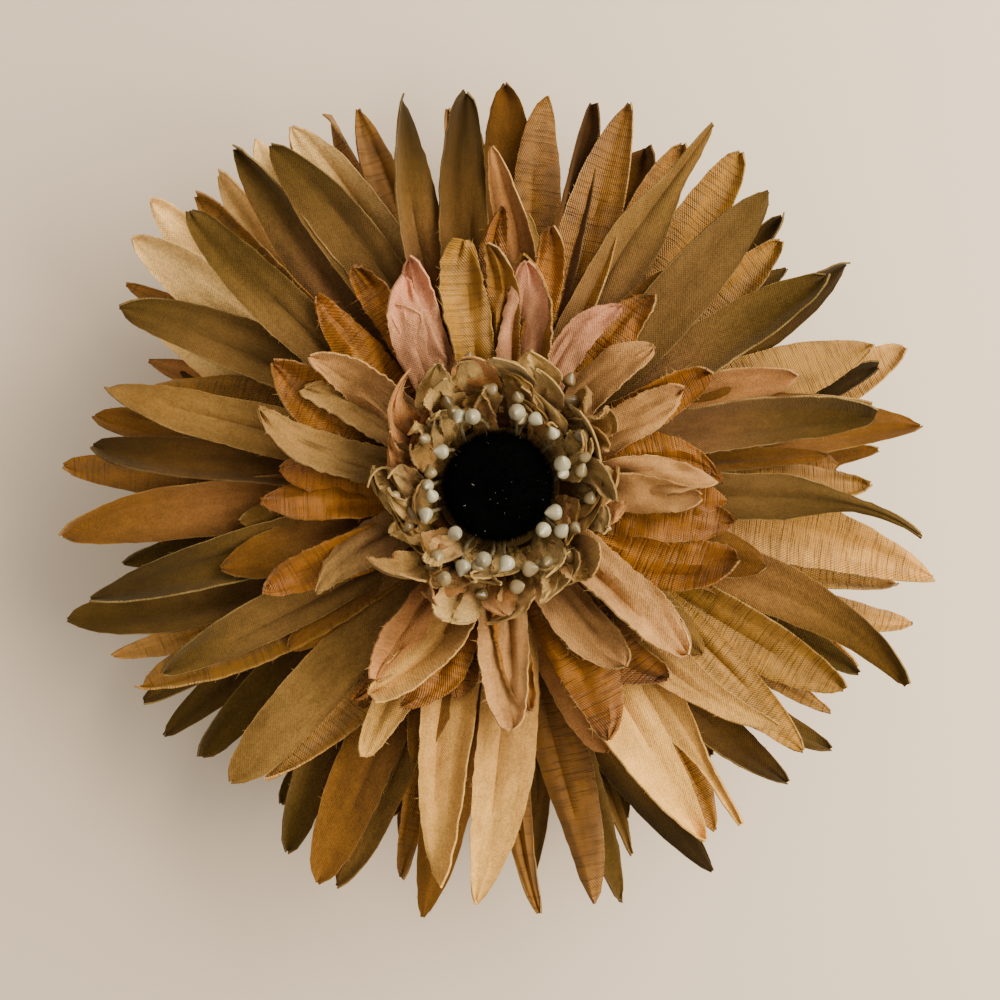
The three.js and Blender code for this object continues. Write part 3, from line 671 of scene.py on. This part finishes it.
def plain_object(name, parts, material, tones=None):
    """Joins (points in mm, faces) pairs into one smooth object, with a tone per part if given."""
    points, faces, values, start = [], [], [], 0
    for i, (part_points, part_faces) in enumerate(parts):
        points.append(part_points)
        faces.extend(tuple(v + start for v in face) for face in part_faces)
        values.extend([tones[i] if tones is not None else 0.5] * len(part_points))
        start += len(part_points)
    mesh = bpy.data.meshes.new(name)
    mesh.from_pydata((np.concatenate(points) * MM).tolist(), [], faces)
    tone = mesh.attributes.new("tone", "FLOAT", "POINT")
    tone.data.foreach_set("value", np.array(values, float))
    mesh.materials.append(material)
    return finish_mesh(name, mesh)


def bead_material(name, deep, light, haze):
    m = Nodes(name, Roughness=0.28, Coat_Weight=0.2, Coat_Roughness=0.15, Subsurface_Weight=haze)
    m.feed("Subsurface Radius", (1.0, 0.8, 0.5))
    m.feed("Subsurface Scale", 0.6 * MM)
    tone = m.add("Attribute", attribute_name="tone").outputs["Fac"]
    place = m.add("TexCoord").outputs["Object"]
    cloud = m.noise(900.0, place)
    mixed = m.math("ADD", tone, m.span(cloud, 0.3, 0.7, -0.2, 0.2))
    m.feed("Base Color", m.tint(mixed, (*deep, 1), (*light, 1)))
    return m.material


BEAD_OUTLINE = [(0.25, 0.0), (0.62, 0.12), (0.88, 0.32), (1.0, 0.6), (0.97, 0.9), (0.82, 1.25),
                (0.6, 1.6), (0.36, 1.92), (0.16, 2.12), (0.04, 2.2)]


def build_stamens(node, seed, count, start, reach, climb, bead, material, spread, palest):
    """Beaded stamens that lean out from a ring: start and reach are radii, climb the bead's height."""
    rng = np.random.default_rng(seed)
    ring_z, ring_height = box_mm(node)[0][2], 0.7
    rim, ring_top = start + 0.4, ring_z + ring_height
    profile = [(SPINDLE_HOLE, ring_z), (rim - 0.1, ring_z), (rim, ring_z + 0.1), (rim, ring_top - 0.1),
               (rim - 0.1, ring_top), (SPINDLE_HOLE, ring_top)]
    parts, tones = [revolve(profile)], [0.2]
    for i in range(count):
        turn = 2 * math.pi * (i + rng.normal(0, 0.22)) / count
        out = reach + rng.normal(0, spread)
        top = climb + rng.normal(0, 0.4)
        foot = np.array([start, 0.0, ring_z + ring_height / 2])
        tip = np.array([out, rng.normal(0, 0.9), ring_z + top])
        bow = np.array([0.18 * (out - start), rng.normal(0, 0.3), -0.4])
        steps = np.linspace(0, 1, 8)[:, None]
        stem = foot + (tip - foot) * steps + bow * np.sin(steps * math.pi)
        points, faces = tube(stem, np.linspace(0.30, 0.22, 8), 7)
        lean = unit(unit(tip - stem[-2]) + rng.normal(0, 0.7, 3))
        size = bead * rng.uniform(0.8, 1.12)
        path = [tip + lean * (z - 0.4) * size for _, z in BEAD_OUTLINE]
        bead_points, bead_faces = tube(path, [r * size for r, _ in BEAD_OUTLINE], 14)
        along, aside = math.cos(turn), math.sin(turn)
        spin = np.array([[along, -aside, 0], [aside, along, 0], [0, 0, 1]])
        tone = rng.uniform(palest, 1.0)
        parts += [(points @ spin.T, faces), (bead_points @ spin.T, bead_faces)]
        tones += [0.1, tone]
    piece = plain_object(node + "_beads", parts, material, tones)
    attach(piece, "flower")
    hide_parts(node)


def pile_material():
    m = Nodes("black_pile", Roughness=1.0)
    m.feed("Specular IOR Level", 0.05)
    tone = m.add("Attribute", attribute_name="tone").outputs["Fac"]
    black, pale_speck = (0.0008, 0.0008, 0.0010, 1), (0.5, 0.44, 0.36, 1)
    m.feed("Base Color", m.tint(tone, black, pale_speck))
    return m.material


def build_pile():
    """A dome of short black fibres, with a few pale specks on it."""
    rng = np.random.default_rng(5)
    radius, base, top = round_mm("centre_pile")
    height = top - base
    shape = [(0.01, 0.0), (0.80, 0.0), (0.93, 0.12), (0.96, 0.32), (0.92, 0.52), (0.80, 0.70), (0.60, 0.83),
             (0.34, 0.90), (0.01, 0.92)]
    body = revolve([(r * radius, base + z * height) for r, z in shape])
    count = 11000
    polar = np.arccos(rng.uniform(0.03, 1, count))
    turn = rng.uniform(0, 2 * math.pi, count)
    way = np.stack([np.sin(polar) * np.cos(turn), np.sin(polar) * np.sin(turn), np.cos(polar)], -1)
    foot = way * [radius * 0.93, radius * 0.93, height * 0.62] + [0, 0, base + height * 0.27]
    splay = unit(way * [1, 1, 1.3] + rng.normal(0, 0.22, (count, 3)))
    lengths = rng.uniform(0.55, 1.0, (count, 1))
    thick = rng.uniform(0.035, 0.06, (count, 1))
    fibres = spikes(foot, splay, lengths, thick, rng)
    piece = plain_object("centre_pile_fibres", [body, fibres], pile_material())
    specked = np.r_[np.zeros(len(body[0])), np.repeat(rng.random(count) < 0.003, 4)]
    piece.data.attributes["tone"].data.foreach_set("value", specked.astype(float))
    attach(piece, "flower")
    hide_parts("centre_pile")


build_florets("floret_whorl_outer", 41, 18.5, 9.2,
              [(17, 10.6, 16.6, 4.3, 0.6), (15, 9.4, 14.6, 4.1, 2.0)], ["beige", "tan", "floret", "floret"])
build_florets("floret_whorl_inner", 42, 14.4, 8.2,
              [(15, 8.4, 13.0, 3.9, 0.8), (12, 7.4, 11.4, 3.4, 1.6)], ["floret", "floret", "olivetan"])
build_stamens("stamen_crown_outer", 51, 18, 8.0, 14.0, 7.6, 0.95,
              bead_material("bead_olive", srgb(0.22, 0.17, 0.08), srgb(0.50, 0.42, 0.26), 0.1), 1.3, 0.3)
build_stamens("stamen_crown_middle", 52, 20, 7.0, 11.1, 8.0, 0.98,
              bead_material("bead_tan", srgb(0.36, 0.30, 0.17), srgb(0.56, 0.50, 0.36), 0.3), 1.1, 0.2)
build_stamens("stamen_crown_inner", 53, 18, 6.0, 9.0, 7.2, 0.98,
              bead_material("bead_pearl", srgb(0.36, 0.31, 0.20), srgb(0.63, 0.61, 0.51), 0.4), 0.8, 0.5)
build_pile()


# ---------- The clip, glue, felt and calyx ----------

# Sizes in mm, as in the CAD.
STEEL = 0.8  # sheet of both stampings
STEEL_CORNER = 0.2  # radius of a stamping's rounded edges
TIP_Y, TIP_RADIUS, LEVER_END_Y = -46.0, 2.5, 28.0
BASE_HALF_WIDTH, JAW_NECK, JAW_HALF_WIDTH = 4.5, 3.3, 3.9
BASE_Z, JAW_CREST_Z, JAW_FOOT_Z = 10.6, 4.2, 0.4
REAR_ROUNDING = 3.0  # how far from its end a lever starts to narrow
EAR_THICKNESS, BASE_EAR, JAW_EAR, PIN_RADIUS = 0.7, 2.2, 1.8, 0.8
PIVOT_LOW, PIVOT_HIGH = box_mm("pivot_pin")
PIVOT = [(a + b) / 2 for a, b in zip(PIVOT_LOW, PIVOT_HIGH)]


def metal_material(name, colour, roughness):
    """Plated spring steel: fine scratches along the clip and a little tarnish."""
    m = Nodes(name, Metallic=1.0)
    place = m.add("TexCoord").outputs["Object"]
    scratch = m.noise(1.0, m.stretch(place, 9000.0, 500.0), 4.0)
    tarnish = m.noise(220.0, place, 5.0)
    dull = tuple(0.62 * c for c in colour)
    m.feed("Base Color", m.tint(m.span(tarnish, 0.45, 0.75, 0, 0.6), (*colour, 1), (*dull, 1)))
    rough = m.math("ADD", m.span(scratch, 0.3, 0.7, -0.07, 0.09), m.span(tarnish, 0.4, 0.7, 0, 0.15))
    m.feed("Roughness", m.math("ADD", rough, roughness))
    m.feed("Normal", m.bump(scratch, 0.01 * MM, 0.5))
    return m.material


def mottled_material(name, colour, other, scale, grain, **sockets):
    """Felt, glue or moulded plastic: two mottled colours under a grain of the given depth in mm."""
    m = Nodes(name, **sockets)
    place = m.add("TexCoord").outputs["Object"]
    patches = m.noise(scale, place, 5.0)
    share = m.span(patches, 0.3, 0.7, 0, 1)
    m.feed("Base Color", m.tint(share, (*colour, 1), (*other, 1)))
    m.feed("Normal", m.bump(m.noise(4 * scale, place, 6.0), grain * MM))
    return m.material


def bezier(a, b, c, d, count):
    u = np.linspace(0, 1, count)[:, None]
    a, b, c, d = (np.array(point, float) for point in (a, b, c, d))
    return a * (1 - u) ** 3 + 3 * b * u * (1 - u) ** 2 + 3 * c * u * u * (1 - u) + d * u ** 3


def end_to_end(front, rear, count=120):
    """Places along Y from rear to front, closest together at both ends."""
    return lerp(rear, front, (1 - np.cos(np.linspace(0, math.pi, count))) / 2)


def rounded_plan(y, knots, rear):
    """Half widths at y, from (y, half width) knots, with the clip's rounded tip and rounded rear end."""
    half = np.interp(y, *zip(*knots))
    front = TIP_Y + TIP_RADIUS
    half = np.where(y < front, np.sqrt(np.maximum(TIP_RADIUS ** 2 - (y - front) ** 2, 0)), half)
    u = 1 - np.sqrt(np.clip((rear - y) / REAR_ROUNDING, 0, 1))
    return np.where(y > rear - REAR_ROUNDING, half * (1 - u * u), half)


def strip(middle, y, half_widths, thickness, corner):
    """A bar of rounded rectangular section that follows a middle line of (y, z) points."""
    middle = np.asarray(middle, float)
    middle = middle[np.argsort(middle[:, 0])]
    z = np.interp(y, middle[:, 0], middle[:, 1])
    along = unit(np.stack([np.gradient(y), np.gradient(z)], -1))
    quarters = ((1, 1, 0), (-1, 1, 90), (-1, -1, 180), (1, -1, 270))
    around = [(sx, sz, math.radians(start + turn))
              for sx, sz, start in quarters for turn in (0, 30, 60, 90)]
    rings = []
    for at, height, way, half in zip(y, z, along, half_widths):
        ring = []
        for sx, sz, angle in around:
            x = sx * (max(half, corner) - corner) + corner * math.cos(angle)
            up = sz * (thickness / 2 - corner) + corner * math.sin(angle)
            ring.append((x, at + up * way[1], height - up * way[0]))
        rings.append(ring)
    return sweep(rings)


def ear(radius, reach, inside, side):
    """A lug of the given radius round the pin that reaches up, or down if negative, to its sheet."""
    angle = np.linspace(0, 2 * math.pi, 56, endpoint=False)
    across, towards = np.abs(np.cos(angle)), np.sin(angle) * math.copysign(1, reach)
    square = np.minimum(radius / np.maximum(across, 1e-6), abs(reach) / np.maximum(towards, 1e-6))
    outline = np.where(towards > 0, square, radius)
    start = inside if side > 0 else -inside - EAR_THICKNESS
    end, round_off, hole = start + EAR_THICKNESS, 0.12, 0 * outline + PIN_RADIUS + 0.05
    rings = [(start, hole), (start, outline - round_off), (start + round_off, outline),
             (end - round_off, outline), (end, outline - round_off), (end, hole)]
    return sweep([np.stack([0 * angle + x, PIVOT[1] + r * np.cos(angle), PIVOT[2] + r * np.sin(angle)], -1)
                  for x, r in rings], closed=True)


def clip_piece(name, node, body, parts, material):
    piece = plain_object(name, parts, material)
    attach(piece, body)
    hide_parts(node)


def build_clip():
    plated = metal_material("plated_steel", (0.66, 0.64, 0.60), 0.26)
    fall = bezier((-12, BASE_Z), (-26, BASE_Z), (-34, 3.2), (TIP_Y - 1, 1.55), 60)
    rear = LEVER_END_Y - 1
    y = end_to_end(TIP_Y, rear)
    plan = rounded_plan(y, [(TIP_Y + TIP_RADIUS, TIP_RADIUS), (-8, BASE_HALF_WIDTH)], rear)
    base = strip([(LEVER_END_Y, BASE_Z), *fall], y, plan, STEEL, STEEL_CORNER)
    ears = [ear(BASE_EAR, BASE_Z - PIVOT[2], BASE_HALF_WIDTH - EAR_THICKNESS, side) for side in (-1, 1)]
    clip_piece("clip_base_plate", "clip_base", "flower", [base, *ears], plated)

    crest = bezier((0, JAW_CREST_Z), (-12, JAW_CREST_Z), (-24, JAW_FOOT_Z), (-36, JAW_FOOT_Z), 50)
    elbow = bezier((24, JAW_FOOT_Z), (22.5, JAW_FOOT_Z), (22.5, JAW_FOOT_Z), (20, 1.0), 8)
    knee = bezier((8, 3.65), (5.5, JAW_CREST_Z), (5.5, JAW_CREST_Z), (2, JAW_CREST_Z), 8)
    jaw_line = [(LEVER_END_Y + 1, JAW_FOOT_Z), *elbow, *knee, *crest, (TIP_Y - 1, JAW_FOOT_Z)]
    knots = [(TIP_Y + TIP_RADIUS, TIP_RADIUS), (-12, JAW_HALF_WIDTH), (-4, JAW_NECK), (11, JAW_NECK),
             (15, BASE_HALF_WIDTH)]
    y = end_to_end(TIP_Y, LEVER_END_Y)
    parts = [strip(jaw_line, y, rounded_plan(y, knots, LEVER_END_Y), STEEL, STEEL_CORNER)]
    parts += [ear(JAW_EAR, JAW_CREST_Z - PIVOT[2], JAW_NECK - EAR_THICKNESS, side) for side in (-1, 1)]
    front_tooth, tooth_pitch, aside = -41.4, 2.6, 1.9
    for i in range(4):
        for side in (-1, 1):
            foot = np.array([side * aside, front_tooth + tooth_pitch * i, JAW_FOOT_Z + 0.2])
            path = [foot, foot + [0, 0, 0.5], foot + [0, 0, 1.0], foot + [0, 0, 1.2]]
            parts.append(tube(path, [0.62, 0.42, 0.16, 0.04], 12))
    clip_piece("clip_jaw_plate", "clip_jaw", "jaw", parts, plated)

    shank = BASE_HALF_WIDTH + 0.35
    half = [(0.02, PIN_RADIUS), (shank - 0.02, PIN_RADIUS), (shank, 1.25), (shank + 0.12, 1.4),
            (shank + 0.25, 1.3), (shank + 0.34, 0.95), (shank + 0.4, 0.3)]
    outline = [(-x, r) for x, r in reversed(half)] + half
    path = [(x, PIVOT[1], PIVOT[2]) for x, _ in outline]
    clip_piece("pivot_rivet", "pivot_pin", "flower", [tube(path, [r for _, r in outline], 32)], plated)


def build_spring():
    """A wire leg under the base plate, three and a half turns round the pin, and a leg on the lever."""
    coil_radius, pitch, leg, wire_radius = 1.75, 0.85, 14.0, 0.3
    fall = math.atan2(JAW_CREST_Z - JAW_FOOT_Z, 22.5 - 5.5)
    turn = 7 * math.pi - fall
    first_x = -turn / (2 * math.pi) * pitch / 2
    angle = np.linspace(0, turn, 110)
    coil = np.stack([first_x + angle / (2 * math.pi) * pitch, PIVOT[1] - coil_radius * np.sin(angle),
                     PIVOT[2] + coil_radius * np.cos(angle)], -1)
    out = np.linspace(1, 0.06, 12)[:, None]
    first_leg = coil[0] + leg * out * [0, 1, 0]
    last_leg = coil[-1] + leg * out[::-1] * [0, math.cos(fall), -math.sin(fall)]
    path = np.concatenate([first_leg, coil, last_leg])
    wire = tube(path, [wire_radius] * len(path), 10)
    spring = metal_material("spring_steel", (0.50, 0.49, 0.47), 0.32)
    piece = plain_object("spring_wire", [wire], spring)
    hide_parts("torsion_spring")
    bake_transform(piece)


def build_felt(material):
    """The felt disc, with its fuzz on the face below and on its rim."""
    rng = np.random.default_rng(21)
    radius, base, top = round_mm("felt_disc")
    profile = [(0.01, base), (radius - 0.6, base), (radius - 0.1, base + 0.35),
               (radius, 0.5 * (base + top)), (radius - 0.1, top - 0.35), (radius - 0.6, top), (0.01, top)]
    disc = revolve(profile, 120, 0.012)
    count = 5000
    bearing, spread = rng.uniform(0, 2 * math.pi, count), np.sqrt(rng.uniform(0, 1.25, count))
    rim = spread > 1
    reach = np.where(rim, 1, spread) * (radius - 0.3)
    height = np.where(rim, rng.uniform(base, top, count), base + 0.1)
    foot = np.stack([reach * np.cos(bearing), reach * np.sin(bearing), height], -1)
    out = np.stack([rim * np.cos(bearing), rim * np.sin(bearing), rim - 1.0], -1)
    way = unit(out + rng.normal(0, 0.8, (count, 3)))
    fuzz = spikes(foot, way, rng.uniform(0.2, 0.7, (count, 1)), 0.035, rng)
    clip_piece("felt_backing", "felt_disc", "flower", [disc, fuzz], material)


def build_backing():
    """What joins the clip to the flower, from the base plate up to the spindle's head."""
    glue = mottled_material("hot_melt_glue", srgb(0.80, 0.74, 0.60), srgb(0.88, 0.84, 0.72), 400.0, 0.05,
                            Roughness=0.38, Subsurface_Weight=0.3, Coat_Weight=0.15)
    felt = mottled_material("brown_felt", srgb(0.15, 0.10, 0.06), srgb(0.24, 0.17, 0.11), 900.0, 0.12,
                            Roughness=1.0, Sheen_Weight=0.15)
    green = mottled_material("moulded_green", srgb(0.36, 0.40, 0.22), srgb(0.42, 0.45, 0.26), 500.0, 0.02,
                             Roughness=0.5)
    stem = mottled_material("moulded_tan", srgb(0.60, 0.54, 0.40), srgb(0.66, 0.60, 0.46), 500.0, 0.02,
                            Roughness=0.5)
    low, high = box_mm("glue_strip")
    y = end_to_end(low[1], high[1], 60)
    ends = 1 - np.power(np.abs(2 * (y - low[1]) / (high[1] - low[1]) - 1), 6)
    lumps = 1 + 0.09 * noise2(y * 0.4, 0 * y, np.random.default_rng(8))
    middle = [(y[-1], (low[2] + high[2]) / 2), (y[0], (low[2] + high[2]) / 2)]
    bead = strip(middle, y, high[0] * np.sqrt(np.maximum(ends, 0)) * lumps, high[2] - low[2], 0.37)
    clip_piece("glue_bead", "glue_strip", "flower", [bead], glue)

    r, base, top = round_mm("glue_pad")
    pad = [(0.01, base), (r - 0.5, base), (r, base + 0.25), (r, top - 0.25), (r - 0.5, top), (0.01, top)]
    clip_piece("glue_round", "glue_pad", "flower", [revolve(pad, 96, 0.05, 4)], glue)
    build_felt(felt)

    r, base, top = round_mm("calyx")
    saucer = [(SPINDLE_HOLE, base), (r - 3.2, base), (r - 1.6, base + 0.3), (r - 0.3, base + 0.8),
              (r, base + 1.0), (r, top - 0.1), (r - 0.1, top), (SPINDLE_HOLE, top)]
    clip_piece("calyx_saucer", "calyx", "flower", [revolve(saucer, 96)], green)

    r, foot, top = round_mm("spindle")
    pin = [(0.01, foot), (1.8, foot), (2.0, foot + 0.2), (2.0, top - 0.8), (r - 0.1, top - 0.8),
           (r, top - 0.7), (r, top - 0.1), (r - 0.1, top), (0.01, top)]
    clip_piece("spindle_pin", "spindle", "flower", [revolve(pin)], stem)


build_clip()
build_spring()
build_backing()


# ---------- Stage ----------

FLOWER_MIDDLE = Vector((0, 0, 0.02))
FLOOR_Z = -0.05 * MM  # just below the clip's flat faces, which would otherwise share its plane


def area_light(name, place, size, power, colour):
    """A square light of the given size at place, turned to the flower."""
    data = bpy.data.lights.new(name, "AREA")
    data.shape = "RECTANGLE"
    data.size = data.size_y = size
    data.energy, data.color = power, colour
    light = bpy.data.objects.new(name, data)
    light.location = place
    light.rotation_euler = (FLOWER_MIDDLE - Vector(place)).to_track_quat("-Z", "Y").to_euler()
    bpy.context.scene.collection.objects.link(light)


def view_point(right, up, height):
    """A place given by the camera's right and up directions on the floor, in metres."""
    return Matrix.Rotation(VIEW_TURN, 3, "Z") @ Vector((right, up, height))


def build_stage():
    mesh = bpy.data.meshes.new("floor")
    reach = 3.0
    corners = [(-reach, -reach), (reach, -reach), (reach, reach), (-reach, reach)]
    mesh.from_pydata([(x, y, FLOOR_Z) for x, y in corners], [], [(0, 1, 2, 3)])
    floor = bpy.data.objects.new("floor", mesh)
    bpy.context.scene.collection.objects.link(floor)
    paint = Nodes("floor_paint", Base_Color=srgb(0.86, 0.805, 0.725), Roughness=0.5)
    mesh.materials.append(paint.material)
    world = bpy.data.worlds.new("studio")
    world.use_nodes = True
    background = world.node_tree.nodes["Background"]
    background.inputs["Color"].default_value = (0.73, 0.64, 0.545, 1)
    background.inputs["Strength"].default_value = 1.05
    bpy.context.scene.world = world
    area_light("key", view_point(0.29, -0.08, 0.28), 0.20, 1.8, (1.0, 0.87, 0.70))
    area_light("ceiling", view_point(0.35, 0.24, 0.30), 0.40, 5.0, (1.0, 0.90, 0.76))


def build_camera():
    data = bpy.data.cameras.new("camera")
    data.lens, data.sensor_width = 60, 36
    data.clip_start = 0.01
    camera = bpy.data.objects.new("camera", data)
    elevation, distance = math.radians(88), 0.228
    aim = view_point(0.0002, -0.0012, 0.017)
    away = view_point(0, -math.cos(elevation), math.sin(elevation))
    camera.location = aim + away * distance
    camera.rotation_euler = (-away).to_track_quat("-Z", "Y").to_euler()
    bpy.context.scene.collection.objects.link(camera)
    bpy.context.scene.camera = camera


build_stage()
build_camera()
